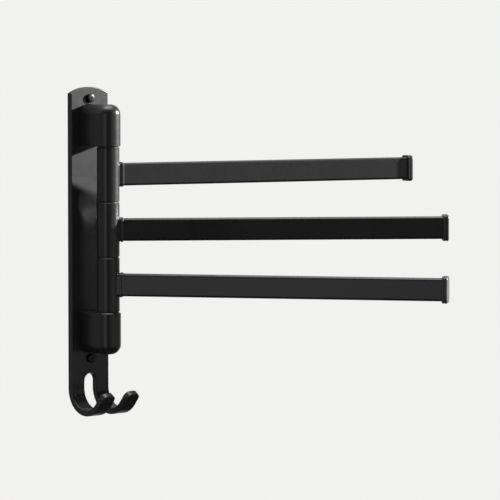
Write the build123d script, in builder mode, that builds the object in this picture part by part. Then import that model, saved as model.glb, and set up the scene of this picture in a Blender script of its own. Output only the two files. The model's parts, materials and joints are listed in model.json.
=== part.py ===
from build123d import *
import math
import os

# A wall-mounted towel rack: a flat aluminium back plate whose lower end is split
# by a slot and bent forward into a double hook, two housings that hold a vertical
# shaft, and three arms that swing on the shaft one above the other.
#
# Frame, in millimetres: the wall is the plane Y = 0, the rack stands out towards
# -Y, +X is to the right along the wall, +Z is up. The origin is on the plate's
# back face, midway between the two wall screws.

os.makedirs("parts", exist_ok=True)

# ---- driving dimensions -------------------------------------------------------

plate_width = 43.0
plate_thickness = 5.5
plate_corner_height = 120.0      # height of the two upper corners
plate_crown = 5.5                # rise of the arched upper edge above its corners
plate_edge_break = 0.7           # rounding along the plate's long edges

slot_width = 13.7                # the slot that parts the two hooks
slot_top = -129.0                # highest point of the slot
hook_outer_radius = 23.0         # outside radius of the bend
hook_bend_height = -141.8        # height of the bend's centre
hook_rise = 52.0                 # the lips rise at this angle to the wall's normal
lip_length = 12.8                # straight lip beyond the bend
lip_corner_radius = 5.5

axis_distance = 30.0             # shaft axis in front of the wall
housing_radius = 11.0            # half the width of a housing, round at the front
housing_inner_end = 73.5         # height of the face towards the hubs
housing_outer_end = 110.5        # height of the rounded outer end
housing_round = 9.0              # rounding of the outer end
housing_lip = 0.6                # small bevel at the inner end

shaft_radius = 4.0
shaft_half_length = 90.0
shaft_edge = 0.5
shaft_end_space = 0.5            # left beyond each end of the shaft
shaft_seat_clearance = 0.05      # between the shaft and its seats in the housings
running_clearance = 0.06         # between the shaft and the bushes
stack_gap = 0.04                 # axial play beside each thrust washer

hub_radius = 10.0
hub_count = 3
washer_thickness = 0.9
washer_radius = 9.1
hub_edge = 0.5
hub_blend = 0.6                  # rounding where the boss meets the barrel
bush_radius = 6.0
bush_length = 12.0
hub_bore_radius = 4.6            # between the two bushes
press_gap = 0.02                 # between pieces pressed together

arm_reach = 303.0                # shaft axis to the outer face of an arm's cap
arm_height = 20.0
arm_width = 10.0
arm_wall = 1.2
arm_corner_radius = 2.4
arm_angles = {"top": 17.2, "middle": 37.7, "bottom": 54.8}   # from the wall, at rest

boss_end = 10.9                  # shaft axis to the flat end of the hub's boss
boss_rim = 0.4                   # how far the boss stands out round the tube
collar_end = 12.9                # shaft axis to the start of the tube
collar_rim = 0.9                 # how far the collar stands out round the tube
collar_edge = 0.5
tongue_end = 44.0                # end of the hub's tongue inside the tube
tongue_gap = 0.1                 # around the tongue and the caps' plugs in the tube

cap_length = 5.0
cap_height = 23.6
cap_width = 14.4
cap_groove_start = 1.7
cap_groove_width = 1.0
cap_groove_depth = 0.7
cap_corner_radius = 3.4
cap_edge = 1.2
cap_inner_edge = 0.5
cap_plug_length = 12.0

wall_screw_height = 115.5        # above and below the origin
wall_hole_radius = 2.35
wall_neck_radius = 2.25
wall_thread_radius = 2.0
wall_head_radius = 4.0
wall_head_height = 2.8
wall_head_side = 2.1             # height of the head's straight side
wall_head_edge = 0.5             # rounding of the head's rim
wall_screw_length = 30.0
wall_neck_end = 0.4              # the smooth neck ends just behind the plate
wall_tip_length = 4.0
recess_length = 3.6              # cross recess in the heads
recess_width = 0.8
recess_depth = 1.3

bracket_screw_heights = (83.0, 100.0)
bracket_screw_radius = 2.0
bracket_hole_radius = 2.2
bracket_head_radius = 3.8
bracket_screw_length = 14.0
bracket_head_recess = 0.3        # the heads lie this far below the plate's back face

arm_screw_distance = 34.0        # shaft axis to the screw under each arm
arm_screw_radius = 2.0
arm_screw_length = 6.0
arm_socket_radius = 1.0
arm_socket_depth = 2.0

cut_margin = 1.0                 # cutting shapes run this far past the piece
overlap = 0.5                    # joined shapes run this far into each other
tolerance = 0.01                 # for picking edges by their place

# ---- derived dimensions -------------------------------------------------------

plate_front = -plate_thickness
plate_half = plate_width / 2
hook_inner_radius = hook_outer_radius - plate_thickness
hook_low = hook_bend_height - hook_outer_radius
gap_height = washer_thickness + 2 * stack_gap
hub_height = (2 * housing_inner_end - (hub_count + 1) * gap_height) / hub_count
hub_pitch = hub_height + gap_height
tube_end = arm_reach - cap_length
arm_levels = {"top": hub_pitch, "middle": 0.0, "bottom": -hub_pitch}


def save(builder, name):
    """Label a finished piece and write it as its own file."""
    builder.part.label = name
    export_step(builder.part, f"parts/{name}.step")


def arm_plane(name, distance=0.0):
    """Plane across an arm at a distance from the shaft: x level, y up, z outwards."""
    angle = math.radians(arm_angles[name])
    outwards = Vector(math.cos(angle), -math.sin(angle), 0)
    sideways = Vector(math.sin(angle), math.cos(angle), 0)
    start = Vector(0, -axis_distance, arm_levels[name]) + outwards * distance
    return Plane(origin=start, x_dir=sideways, z_dir=outwards)


# ---- back plate with the double hook ------------------------------------------


def hook_point(radius, angle):
    """Point of the bend in the YZ plane, the angle counted from the wall side."""
    a = math.radians(angle)
    return (-hook_outer_radius + radius * math.cos(a), hook_bend_height - radius * math.sin(a))


bend_angle = 90 + hook_rise
lip_step = (
    -lip_length * math.cos(math.radians(hook_rise)),
    lip_length * math.sin(math.radians(hook_rise)),
)
outer_bend_end = hook_point(hook_outer_radius, bend_angle)
inner_bend_end = hook_point(hook_inner_radius, bend_angle)
outer_lip = (outer_bend_end[0] + lip_step[0], outer_bend_end[1] + lip_step[1])
inner_lip = (inner_bend_end[0] + lip_step[0], inner_bend_end[1] + lip_step[1])
hook_reach = -outer_lip[0]
plate_top = plate_corner_height + plate_crown

with BuildPart() as back_plate:
    with BuildSketch(Plane.YZ):
        with BuildLine():
            Line((0, hook_bend_height), (0, plate_top))
            Line((0, plate_top), (plate_front, plate_top))
            Line((plate_front, plate_top), (plate_front, hook_bend_height))
            ThreePointArc(
                (plate_front, hook_bend_height),
                hook_point(hook_inner_radius, bend_angle / 2),
                inner_bend_end,
            )
            Line(inner_bend_end, inner_lip)
            Line(inner_lip, outer_lip)
            Line(outer_lip, outer_bend_end)
            ThreePointArc(
                outer_bend_end,
                hook_point(hook_outer_radius, bend_angle / 2),
                (0, hook_bend_height),
            )
        make_face()
    extrude(amount=plate_half, both=True)
    # the slot runs from its round upper end through the bend and out at the lips
    with BuildSketch(Plane.XZ):
        with BuildLine():
            slot_shoulder = slot_top - slot_width / 2
            slot_end = hook_low - cut_margin
            Line((-slot_width / 2, slot_shoulder), (-slot_width / 2, slot_end))
            Line((-slot_width / 2, slot_end), (slot_width / 2, slot_end))
            Line((slot_width / 2, slot_end), (slot_width / 2, slot_shoulder))
            ThreePointArc(
                (slot_width / 2, slot_shoulder),
                (0, slot_top),
                (-slot_width / 2, slot_shoulder),
            )
        make_face()
    extrude(amount=hook_reach + cut_margin, both=True, mode=Mode.SUBTRACT)
    lip_corners = back_plate.edges().filter_by(
        lambda e: abs(e.length - plate_thickness) < tolerance and e.center().Y < -hook_outer_radius
    )
    fillet(lip_corners, lip_corner_radius)
    # the arched upper edge
    with BuildSketch(Plane.XZ):
        with BuildLine():
            above = plate_top + cut_margin
            Line((-plate_half, plate_corner_height), (-plate_half, above))
            Line((-plate_half, above), (plate_half, above))
            Line((plate_half, above), (plate_half, plate_corner_height))
            ThreePointArc(
                (plate_half, plate_corner_height),
                (0, plate_top),
                (-plate_half, plate_corner_height),
            )
        make_face()
    extrude(amount=plate_thickness + cut_margin, both=True, mode=Mode.SUBTRACT)
    # every outside edge is slightly rounded
    fillet(back_plate.edges(), plate_edge_break)
    # clearance holes for the wall screws
    with Locations(Plane.XZ):
        with Locations((0, wall_screw_height), (0, -wall_screw_height)):
            Hole(wall_hole_radius)
    # countersunk from behind for the screws that hold the housings
    bracket_levels = [side * h for side in (1, -1) for h in bracket_screw_heights]
    with Locations(Plane.XZ.rotated((0, 180, 0))):
        with Locations(*[(0, level) for level in bracket_levels]):
            CounterSinkHole(bracket_hole_radius, bracket_head_radius + bracket_head_recess)

save(back_plate, "back_plate")

# ---- housings ------------------------------------------------------------------


def off_the_plate(edge):
    """True for edges that don't lie on the plate's front face."""
    return edge.center().Y < plate_front - tolerance


def housing(side):
    """Housing above (side 1) or below (side -1) the hubs: flat sides, round front and outer end."""
    inner_plane = Plane.XY.offset(side * housing_inner_end)
    outer_plane = Plane.XY.offset(side * housing_outer_end)
    with BuildPart() as block:
        with BuildSketch(inner_plane):
            with BuildLine():
                Line((-housing_radius, plate_front), (housing_radius, plate_front))
                Line((housing_radius, plate_front), (housing_radius, -axis_distance))
                ThreePointArc(
                    (housing_radius, -axis_distance),
                    (0, -axis_distance - housing_radius),
                    (-housing_radius, -axis_distance),
                )
                Line((-housing_radius, -axis_distance), (-housing_radius, plate_front))
            make_face()
        extrude(amount=side * (housing_outer_end - housing_inner_end))
        outer_face = block.faces().filter_by(Axis.Z).sort_by(lambda f: side * f.center().Z)[-1]
        fillet(outer_face.edges().filter_by(off_the_plate), housing_round)
        inner_face = block.faces().filter_by(Axis.Z).sort_by(lambda f: side * f.center().Z)[0]
        chamfer(inner_face.edges().filter_by(off_the_plate), housing_lip)
        # blind seat for the end of the shaft
        with BuildSketch(inner_plane):
            with Locations((0, -axis_distance)):
                Circle(shaft_radius + shaft_seat_clearance)
        seat_depth = shaft_half_length + shaft_end_space - housing_inner_end
        extrude(amount=side * seat_depth, mode=Mode.SUBTRACT)
        # tapped holes for the two screws that come through the plate
        with BuildSketch(Plane.XZ.offset(-plate_front)):
            for height in bracket_screw_heights:
                with Locations((0, side * height)):
                    Circle(bracket_screw_radius + press_gap)
        extrude(amount=bracket_screw_length + cut_margin - plate_thickness, mode=Mode.SUBTRACT)
    return block


top_housing = housing(1)
save(top_housing, "top_housing")

bottom_housing = housing(-1)
save(bottom_housing, "bottom_housing")

# ---- shaft and thrust washers ---------------------------------------------------

with BuildPart() as pivot_shaft:
    with BuildSketch(Plane.XY.offset(-shaft_half_length)):
        with Locations((0, -axis_distance)):
            Circle(shaft_radius)
    extrude(amount=2 * shaft_half_length)
    chamfer(pivot_shaft.edges().filter_by(GeomType.CIRCLE), shaft_edge)

save(pivot_shaft, "pivot_shaft")

washer_names = ("bottom_washer", "lower_middle_washer", "upper_middle_washer", "top_washer")

for level, washer_name in enumerate(washer_names):
    base = -housing_inner_end + stack_gap + level * (hub_height + gap_height)
    with BuildPart() as washer:
        with BuildSketch(Plane.XY.offset(base)):
            with Locations((0, -axis_distance)):
                Circle(washer_radius)
                Circle(shaft_radius + running_clearance, mode=Mode.SUBTRACT)
        extrude(amount=washer_thickness)
    save(washer, washer_name)

# ---- arms -----------------------------------------------------------------------


def joins_barrel(edge, name):
    """True for the edges where the boss of a hub meets the barrel."""
    middle = edge @ 0.5
    from_axis = math.hypot(middle.X, middle.Y + axis_distance)
    local = arm_plane(name).to_local_coords(middle)
    beside = abs(local.X) < arm_width / 2 + boss_rim + tolerance
    level = abs(local.Y) < arm_height / 2 + boss_rim + tolerance
    return abs(from_axis - hub_radius) < tolerance and beside and level and local.Z > 0


def arm_hub(name):
    """Hub of one arm: a bored barrel, a boss for the tube to butt on and a tongue inside it."""
    level = arm_levels[name]
    half = hub_height / 2
    spot = arm_plane(name, arm_screw_distance).origin
    with BuildPart() as hub:
        with BuildSketch(Plane.XY.offset(level - half)):
            with Locations((0, -axis_distance)):
                Circle(hub_radius)
        extrude(amount=hub_height)
        chamfer(hub.edges().filter_by(GeomType.CIRCLE), hub_edge)
        with BuildSketch(arm_plane(name)):
            RectangleRounded(
                arm_width + 2 * boss_rim, arm_height + 2 * boss_rim, arm_corner_radius + boss_rim
            )
        extrude(amount=boss_end)
        fillet(hub.edges().filter_by(lambda e: joins_barrel(e, name)), hub_blend)
        with BuildSketch(arm_plane(name)):
            RectangleRounded(
                arm_width - 2 * (arm_wall + tongue_gap),
                arm_height - 2 * (arm_wall + tongue_gap),
                arm_corner_radius - arm_wall,
            )
        extrude(amount=tongue_end)
        # bore, wider at both ends for the bushes
        with BuildSketch(Plane.XY.offset(level - half)):
            with Locations((0, -axis_distance)):
                Circle(hub_bore_radius)
        extrude(amount=hub_height, mode=Mode.SUBTRACT)
        for end in (level - half, level + half - bush_length):
            with BuildSketch(Plane.XY.offset(end)):
                with Locations((0, -axis_distance)):
                    Circle(bush_radius + press_gap)
            extrude(amount=bush_length, mode=Mode.SUBTRACT)
        # tapped hole for the screw that holds the tube
        with BuildSketch(Plane.XY.offset(level - arm_height / 2)):
            with Locations((spot.X, spot.Y)):
                Circle(arm_screw_radius + press_gap)
        extrude(amount=arm_screw_length + cut_margin, mode=Mode.SUBTRACT)
    return hub


def bush(name, upper):
    """Nylon bush pressed into one end of a hub."""
    half = hub_height / 2
    end = arm_levels[name] + (half - bush_length if upper else -half)
    with BuildPart() as sleeve:
        with BuildSketch(Plane.XY.offset(end)):
            with Locations((0, -axis_distance)):
                Circle(bush_radius)
                Circle(shaft_radius + running_clearance, mode=Mode.SUBTRACT)
        extrude(amount=bush_length)
    return sleeve


def arm_collar(name):
    """Ring between the hub's boss and the tube."""
    with BuildPart() as ring:
        with BuildSketch(arm_plane(name, boss_end)):
            RectangleRounded(
                arm_width + 2 * collar_rim,
                arm_height + 2 * collar_rim,
                arm_corner_radius + collar_rim,
            )
            RectangleRounded(
                arm_width - 2 * arm_wall,
                arm_height - 2 * arm_wall,
                arm_corner_radius - arm_wall,
                mode=Mode.SUBTRACT,
            )
        extrude(amount=collar_end - boss_end)
        faces = ring.faces().sort_by(Axis((0, 0, 0), arm_plane(name).z_dir))
        fillet(faces[0].outer_wire().edges() + faces[-1].outer_wire().edges(), collar_edge)
    return ring


def arm_tube(name):
    """Rectangular aluminium tube with rounded corners."""
    spot = arm_plane(name, arm_screw_distance).origin
    with BuildPart() as tube:
        with BuildSketch(arm_plane(name, collar_end)):
            RectangleRounded(arm_width, arm_height, arm_corner_radius)
            RectangleRounded(
                arm_width - 2 * arm_wall,
                arm_height - 2 * arm_wall,
                arm_corner_radius - arm_wall,
                mode=Mode.SUBTRACT,
            )
        extrude(amount=tube_end - collar_end)
        with BuildSketch(Plane.XY.offset(arm_levels[name] - arm_height / 2)):
            with Locations((spot.X, spot.Y)):
                Circle(arm_screw_radius + tongue_gap)
        extrude(amount=arm_wall + tongue_gap, mode=Mode.SUBTRACT)
    return tube


def arm_cap(name):
    """End cap with a shallow groove round it and a plug that fits in the tube."""
    with BuildPart() as cap:
        with BuildSketch(arm_plane(name, tube_end)):
            RectangleRounded(cap_width, cap_height, cap_corner_radius)
        extrude(amount=cap_length)
        rim = cap.faces().sort_by(Axis((0, 0, 0), arm_plane(name).z_dir))[-1].edges()
        fillet(rim, cap_edge)
        inner_rim = cap.faces().sort_by(Axis((0, 0, 0), arm_plane(name).z_dir))[0].edges()
        fillet(inner_rim, cap_inner_edge)
        with BuildSketch(arm_plane(name, tube_end + cap_groove_start)):
            RectangleRounded(
                cap_width + cut_margin, cap_height + cut_margin, cap_corner_radius
            )
            RectangleRounded(
                cap_width - 2 * cap_groove_depth,
                cap_height - 2 * cap_groove_depth,
                cap_corner_radius - cap_groove_depth,
                mode=Mode.SUBTRACT,
            )
        extrude(amount=cap_groove_width, mode=Mode.SUBTRACT)
        with BuildSketch(arm_plane(name, tube_end - cap_plug_length)):
            RectangleRounded(
                arm_width - 2 * (arm_wall + tongue_gap),
                arm_height - 2 * (arm_wall + tongue_gap),
                arm_corner_radius - arm_wall,
            )
        extrude(amount=cap_plug_length + overlap)
    return cap


def arm_screw(name):
    """Grub screw that holds the tube on the tongue from below, with a hexagon socket."""
    spot = arm_plane(name, arm_screw_distance).origin
    foot = Plane.XY.offset(arm_levels[name] - arm_height / 2 + tongue_gap)
    with BuildPart() as screw:
        with BuildSketch(foot):
            with Locations((spot.X, spot.Y)):
                Circle(arm_screw_radius)
        extrude(amount=arm_screw_length)
        with BuildSketch(foot):
            with Locations((spot.X, spot.Y)):
                RegularPolygon(arm_socket_radius, side_count=6)
        extrude(amount=arm_socket_depth, mode=Mode.SUBTRACT)
    return screw


for arm in arm_angles:
    save(arm_hub(arm), f"{arm}_arm_hub")
    save(bush(arm, True), f"{arm}_arm_upper_bush")
    save(bush(arm, False), f"{arm}_arm_lower_bush")
    save(arm_collar(arm), f"{arm}_arm_collar")
    save(arm_tube(arm), f"{arm}_arm_tube")
    save(arm_cap(arm), f"{arm}_arm_cap")
    save(arm_screw(arm), f"{arm}_arm_screw")

# ---- screws ---------------------------------------------------------------------

with BuildPart() as wall_screws:
    # half profile of one screw: pan head in front of the plate, neck, thread and tip
    head_edge = plate_front - wall_head_side
    head_front = plate_front - wall_head_height
    tip = plate_front + wall_screw_length
    for height in (wall_screw_height, -wall_screw_height):
        axis_line = Axis((0, 0, height), (0, 1, 0))
        with BuildSketch(Plane.XY.offset(height)):
            with BuildLine():
                Line((0, head_front), (0, tip))
                Line((0, tip), (wall_thread_radius, tip - wall_tip_length))
                Line((wall_thread_radius, tip - wall_tip_length), (wall_thread_radius, wall_neck_end))
                Line((wall_thread_radius, wall_neck_end), (wall_neck_radius, wall_neck_end))
                Line((wall_neck_radius, wall_neck_end), (wall_neck_radius, plate_front))
                Line((wall_neck_radius, plate_front), (wall_head_radius, plate_front))
                Line((wall_head_radius, plate_front), (wall_head_radius, head_edge))
                TangentArc((0, head_front), (wall_head_radius, head_edge), tangent=(1, 0))
            make_face()
        revolve(axis=axis_line)
    rims = wall_screws.edges().filter_by(GeomType.CIRCLE).filter_by(
        lambda e: abs(e.radius - wall_head_radius) < tolerance and e.center().Y < plate_front - tolerance
    )
    fillet(rims, wall_head_edge)
    # cross recesses
    with BuildSketch(Plane.XZ.offset(-plate_front + wall_head_height - recess_depth)):
        for height in (wall_screw_height, -wall_screw_height):
            with Locations((0, height)):
                Rectangle(recess_length, recess_width)
                Rectangle(recess_width, recess_length)
    extrude(amount=recess_depth + cut_margin, mode=Mode.SUBTRACT)

save(wall_screws, "wall_screws")

with BuildPart() as bracket_screws:
    # countersunk screws, heads just below the plate's back face
    head_back = -bracket_head_recess
    cone_end = head_back - (bracket_head_radius - bracket_screw_radius)
    for height in bracket_levels:
        with BuildSketch(Plane.XY.offset(height)):
            with BuildLine():
                Polyline(
                    (0, head_back),
                    (bracket_head_radius, head_back),
                    (bracket_screw_radius, cone_end),
                    (bracket_screw_radius, head_back - bracket_screw_length),
                    (0, head_back - bracket_screw_length),
                    close=True,
                )
            make_face()
        revolve(axis=Axis((0, 0, height), (0, 1, 0)))
    with BuildSketch(Plane.XZ.offset(bracket_head_recess + recess_depth)):
        for height in bracket_levels:
            with Locations((0, height)):
                Rectangle(recess_length, recess_width)
                Rectangle(recess_width, recess_length)
    extrude(amount=-recess_depth - cut_margin, mode=Mode.SUBTRACT)

save(bracket_screws, "bracket_screws")
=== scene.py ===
import json
import math

import bmesh
import bpy
from bpy.props import FloatProperty, FloatVectorProperty, IntProperty, PointerProperty
from mathutils import Matrix, Vector


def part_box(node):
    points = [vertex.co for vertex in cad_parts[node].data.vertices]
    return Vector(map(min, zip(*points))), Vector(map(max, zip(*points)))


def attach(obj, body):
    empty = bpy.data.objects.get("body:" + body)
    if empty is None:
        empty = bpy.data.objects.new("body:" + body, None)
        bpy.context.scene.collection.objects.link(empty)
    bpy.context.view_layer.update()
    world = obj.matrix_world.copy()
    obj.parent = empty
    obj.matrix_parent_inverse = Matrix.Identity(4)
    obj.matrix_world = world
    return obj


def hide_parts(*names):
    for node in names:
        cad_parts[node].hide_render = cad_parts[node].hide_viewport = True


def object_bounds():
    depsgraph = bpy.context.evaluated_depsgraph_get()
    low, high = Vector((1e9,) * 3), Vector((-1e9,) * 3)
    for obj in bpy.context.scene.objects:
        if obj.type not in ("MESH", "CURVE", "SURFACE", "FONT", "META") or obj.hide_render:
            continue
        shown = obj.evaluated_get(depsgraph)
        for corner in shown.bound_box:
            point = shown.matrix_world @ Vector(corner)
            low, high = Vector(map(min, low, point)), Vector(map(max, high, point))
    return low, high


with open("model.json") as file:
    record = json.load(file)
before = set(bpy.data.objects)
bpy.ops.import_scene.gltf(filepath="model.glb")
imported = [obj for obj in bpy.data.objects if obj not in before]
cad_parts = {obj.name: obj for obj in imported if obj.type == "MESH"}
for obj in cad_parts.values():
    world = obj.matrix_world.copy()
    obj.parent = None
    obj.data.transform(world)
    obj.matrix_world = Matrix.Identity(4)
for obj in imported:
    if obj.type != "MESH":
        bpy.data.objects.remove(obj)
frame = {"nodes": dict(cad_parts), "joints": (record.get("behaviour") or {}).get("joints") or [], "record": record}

bl_info = {
    "name": "Swivel Towel Rack",
    "version": (1, 0, 0),
    "blender": (4, 5, 0),
    "location": "3D View > Sidebar > Towel Rack",
    "description": "Builds the visible pieces of a wall-mounted towel rack around its packed frame",
    "category": "Add Mesh",
}

MM = 0.001
ARMS = ("top", "middle", "bottom")
SAME_PLACE = 0.002 * MM
SAME_PLANE = 0.001 * MM
FACING = 0.9
SMOOTH_ANGLE = math.radians(32)
ROUND_SIDES = 48
cad_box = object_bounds()
joints = {joint["name"]: joint for joint in frame["joints"]}


# ---- places read from the frame ---------------------------------------------------


def arm_angle(arm):
    """Angle of an arm from the wall at rest, which is how far it can swing back to the wall."""
    return math.radians(-joints[f"{arm}_arm_swing"]["range_deg"][0])


def arm_place(arm):
    """Matrix from an arm's own frame, +X outwards from the shaft axis, to the rack's frame."""
    low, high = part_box(f"{arm}_arm_tube")
    pivot = Vector(joints[f"{arm}_arm_swing"]["pos_m"])
    pivot.z = (low.z + high.z) / 2
    return Matrix.Translation(pivot) @ Matrix.Rotation(-arm_angle(arm), 4, "Z")


def arm_span(arm, part):
    """Where one node of an arm starts and ends, measured outwards from the shaft axis."""
    back = arm_place(arm).inverted()
    reach = [(back @ vertex.co).x for vertex in frame["nodes"][f"{arm}_arm_{part}"].data.vertices]
    return min(reach), max(reach)


# ---- sizes and looks that can be changed ------------------------------------------


class ArmSizes(bpy.types.PropertyGroup):
    """Sizes of the tubes, the collars and the screws under the arms"""

    tube_width: FloatProperty(
        name="Tube width", description="Width of an arm's tube", default=10 * MM, unit="LENGTH"
    )
    tube_height: FloatProperty(
        name="Tube height", description="Height of an arm's tube", default=20 * MM, unit="LENGTH"
    )
    tube_wall: FloatProperty(
        name="Tube wall", description="Wall thickness of the tube", default=1.2 * MM, unit="LENGTH"
    )
    tube_corner: FloatProperty(
        name="Tube corner", description="Rounding of the tube's corners", default=2.4 * MM, unit="LENGTH"
    )
    collar_rim: FloatProperty(
        name="Collar rim", description="How far the collar stands out", default=0.9 * MM, unit="LENGTH"
    )
    collar_edge: FloatProperty(
        name="Collar edge", description="Rounding of the collar's rims", default=0.5 * MM, unit="LENGTH"
    )
    screw_distance: FloatProperty(
        name="Screw distance", description="Shaft axis to the screw under the arm",
        default=34 * MM, unit="LENGTH",
    )
    screw_radius: FloatProperty(
        name="Screw radius", description="Radius of the screw under the arm", default=2 * MM, unit="LENGTH"
    )


class CapSizes(bpy.types.PropertyGroup):
    """Sizes of the grooved end caps"""

    width: FloatProperty(name="Width", description="Width of an end cap", default=14.4 * MM, unit="LENGTH")
    height: FloatProperty(name="Height", description="Height of an end cap", default=23.6 * MM, unit="LENGTH")
    length: FloatProperty(name="Length", description="Cap outside the tube", default=5 * MM, unit="LENGTH")
    corner: FloatProperty(
        name="Corner", description="Rounding of the cap's corners", default=3.4 * MM, unit="LENGTH"
    )
    edge: FloatProperty(
        name="Edge", description="Rounding of the outer edge", default=1.2 * MM, unit="LENGTH"
    )
    groove_start: FloatProperty(
        name="Groove start", description="Inner face to the groove", default=1.7 * MM, unit="LENGTH"
    )
    groove_width: FloatProperty(
        name="Groove width", description="Width of the groove", default=1.0 * MM, unit="LENGTH"
    )
    groove_depth: FloatProperty(
        name="Groove depth", description="Depth of the groove", default=0.7 * MM, unit="LENGTH"
    )
    plug_gap: FloatProperty(
        name="Plug gap", description="Room round the plug in the tube", default=0.1 * MM, unit="LENGTH"
    )


class ScrewSizes(bpy.types.PropertyGroup):
    """Sizes of the wall screws, which the bracket screws share in part"""

    head_radius: FloatProperty(
        name="Head radius", description="Radius of a wall screw's head", default=4 * MM, unit="LENGTH"
    )
    neck_radius: FloatProperty(
        name="Neck radius", description="Radius of the smooth neck", default=2.25 * MM, unit="LENGTH"
    )
    thread_radius: FloatProperty(
        name="Thread radius", description="Radius over the thread's crests", default=2 * MM, unit="LENGTH"
    )
    core_radius: FloatProperty(
        name="Core radius", description="Radius at the thread's root", default=1.4 * MM, unit="LENGTH"
    )
    pitch: FloatProperty(
        name="Pitch", description="Distance between two turns of the thread", default=1.8 * MM, unit="LENGTH"
    )
    tip_length: FloatProperty(
        name="Tip length", description="Length of the pointed tip", default=4 * MM, unit="LENGTH"
    )
    recess_length: FloatProperty(
        name="Recess length", description="Length of the cross recess", default=3.6 * MM, unit="LENGTH"
    )
    recess_width: FloatProperty(
        name="Recess width", description="Width of the cross recess", default=0.8 * MM, unit="LENGTH"
    )
    recess_depth: FloatProperty(
        name="Recess depth", description="Depth of the cross recess", default=1.4 * MM, unit="LENGTH"
    )
    segments: IntProperty(
        name="Segments", description="Sides of a round screw", default=48, min=12, max=128
    )


class Looks(bpy.types.PropertyGroup):
    """Colours of the finishes"""

    coat: FloatVectorProperty(
        name="Coat", description="Black coat of the aluminium pieces",
        default=(0.0180, 0.0180, 0.0184), size=3, subtype="COLOR", min=0, max=1,
    )
    plastic: FloatVectorProperty(
        name="Plastic", description="Moulded plastic of the collars and caps",
        default=(0.0360, 0.0360, 0.0364), size=3, subtype="COLOR", min=0, max=1,
    )
    nylon: FloatVectorProperty(
        name="Nylon", description="Nylon of the washers and bushes",
        default=(0.026, 0.026, 0.027), size=3, subtype="COLOR", min=0, max=1,
    )
    dark_steel: FloatVectorProperty(
        name="Dark steel", description="Blackened screws",
        default=(0.038, 0.037, 0.036), size=3, subtype="COLOR", min=0, max=1,
    )
    bright_steel: FloatVectorProperty(
        name="Bright steel", description="Ground steel of the shaft",
        default=(0.62, 0.61, 0.60), size=3, subtype="COLOR", min=0, max=1,
    )


class Stage(bpy.types.PropertyGroup):
    """Camera, light, flags and floor"""

    azimuth: FloatProperty(
        name="Azimuth", description="Side from which the camera looks",
        default=math.radians(-43.43), unit="ROTATION",
    )
    elevation: FloatProperty(
        name="Elevation", description="Height of the camera as an angle",
        default=math.radians(3.78), unit="ROTATION",
    )
    distance: FloatProperty(
        name="Distance", description="Camera to the point it looks at", default=3.3387, unit="LENGTH"
    )
    aim: FloatVectorProperty(
        name="Aim", description="Point that the camera looks at",
        default=(0.2006, 0.0, -0.0286), size=3, subtype="TRANSLATION",
    )
    lens: FloatProperty(name="Lens", description="Focal length in millimetres", default=259.2)
    backdrop: FloatVectorProperty(
        name="Backdrop", description="Pale tone behind the rack",
        default=(0.880, 0.880, 0.868), size=3, subtype="COLOR", min=0, max=1,
    )
    key_azimuth: FloatProperty(
        name="Key azimuth", description="Side from which the key light comes",
        default=math.radians(62), unit="ROTATION",
    )
    key_elevation: FloatProperty(
        name="Key elevation", description="Height of the key light as an angle",
        default=math.radians(14), unit="ROTATION",
    )
    key_softness: FloatProperty(
        name="Key softness", description="Apparent size of the key light",
        default=math.radians(3), unit="ROTATION",
    )
    key_strength: FloatProperty(name="Key strength", description="Strength of the key light", default=11.5)
    flag_distance: FloatProperty(
        name="Flag distance", description="Shaft to the flag in front of the key light",
        default=0.07, unit="LENGTH",
    )
    flag_height: FloatProperty(name="Flag height", description="Height", default=0.22, unit="LENGTH")
    floor_drop: FloatProperty(
        name="Floor drop", description="How far the floor lies below the rack", default=0.9, unit="LENGTH"
    )
    floor_radius: FloatProperty(
        name="Floor radius", description="Where the floor has faded away", default=1.9, unit="LENGTH"
    )


# ---- modelling by hand --------------------------------------------------------------


def only(obj):
    """Leave obj as the one selected and active object."""
    bpy.ops.object.select_all(action="DESELECT")
    obj.select_set(True)
    bpy.context.view_layer.objects.active = obj


def choose(obj, kind, test):
    """Open obj in edit mode with just the faces, edges or vertices selected that pass the test."""
    if bpy.context.mode != "OBJECT":
        bpy.ops.object.mode_set(mode="OBJECT")
    only(obj)
    bpy.ops.object.mode_set(mode="EDIT")
    bpy.ops.mesh.select_mode(type=kind)
    bpy.ops.mesh.select_all(action="DESELECT")
    mesh = bmesh.from_edit_mesh(obj.data)
    items = {"FACE": mesh.faces, "EDGE": mesh.edges, "VERT": mesh.verts}[kind]
    for item in items:
        item.select_set(test(item))
    mesh.select_flush_mode()
    bmesh.update_edit_mesh(obj.data)


def close_edit():
    """Back to object mode."""
    bpy.ops.object.mode_set(mode="OBJECT")


def apply_modifier(obj, kind, **settings):
    """Add one modifier with these settings and apply it."""
    only(obj)
    bpy.ops.object.modifier_add(type=kind)
    modifier = obj.modifiers[-1]
    for key, value in settings.items():
        setattr(modifier, key, value)
    bpy.ops.object.modifier_apply(modifier=modifier.name)


def cut(obj, cutter):
    """Take the cutter's shape out of obj and throw the cutter away."""
    apply_modifier(obj, "BOOLEAN", operation="DIFFERENCE", object=cutter, solver="EXACT")
    bpy.data.objects.remove(cutter)


def unite(obj, other):
    """Fuse another closed shape into obj."""
    apply_modifier(obj, "BOOLEAN", operation="UNION", object=other, solver="EXACT")
    bpy.data.objects.remove(other)


def copy_of(obj, name):
    """A copy with its own mesh."""
    only(obj)
    bpy.ops.object.duplicate(linked=False)
    copy = bpy.context.object
    copy.name = name
    return copy


def place(obj, matrix):
    """Put a finished shape where it belongs, with its place in its mesh."""
    only(obj)
    obj.matrix_world = matrix @ obj.matrix_world
    bpy.ops.object.transform_apply(location=True, rotation=True, scale=True)


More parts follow.
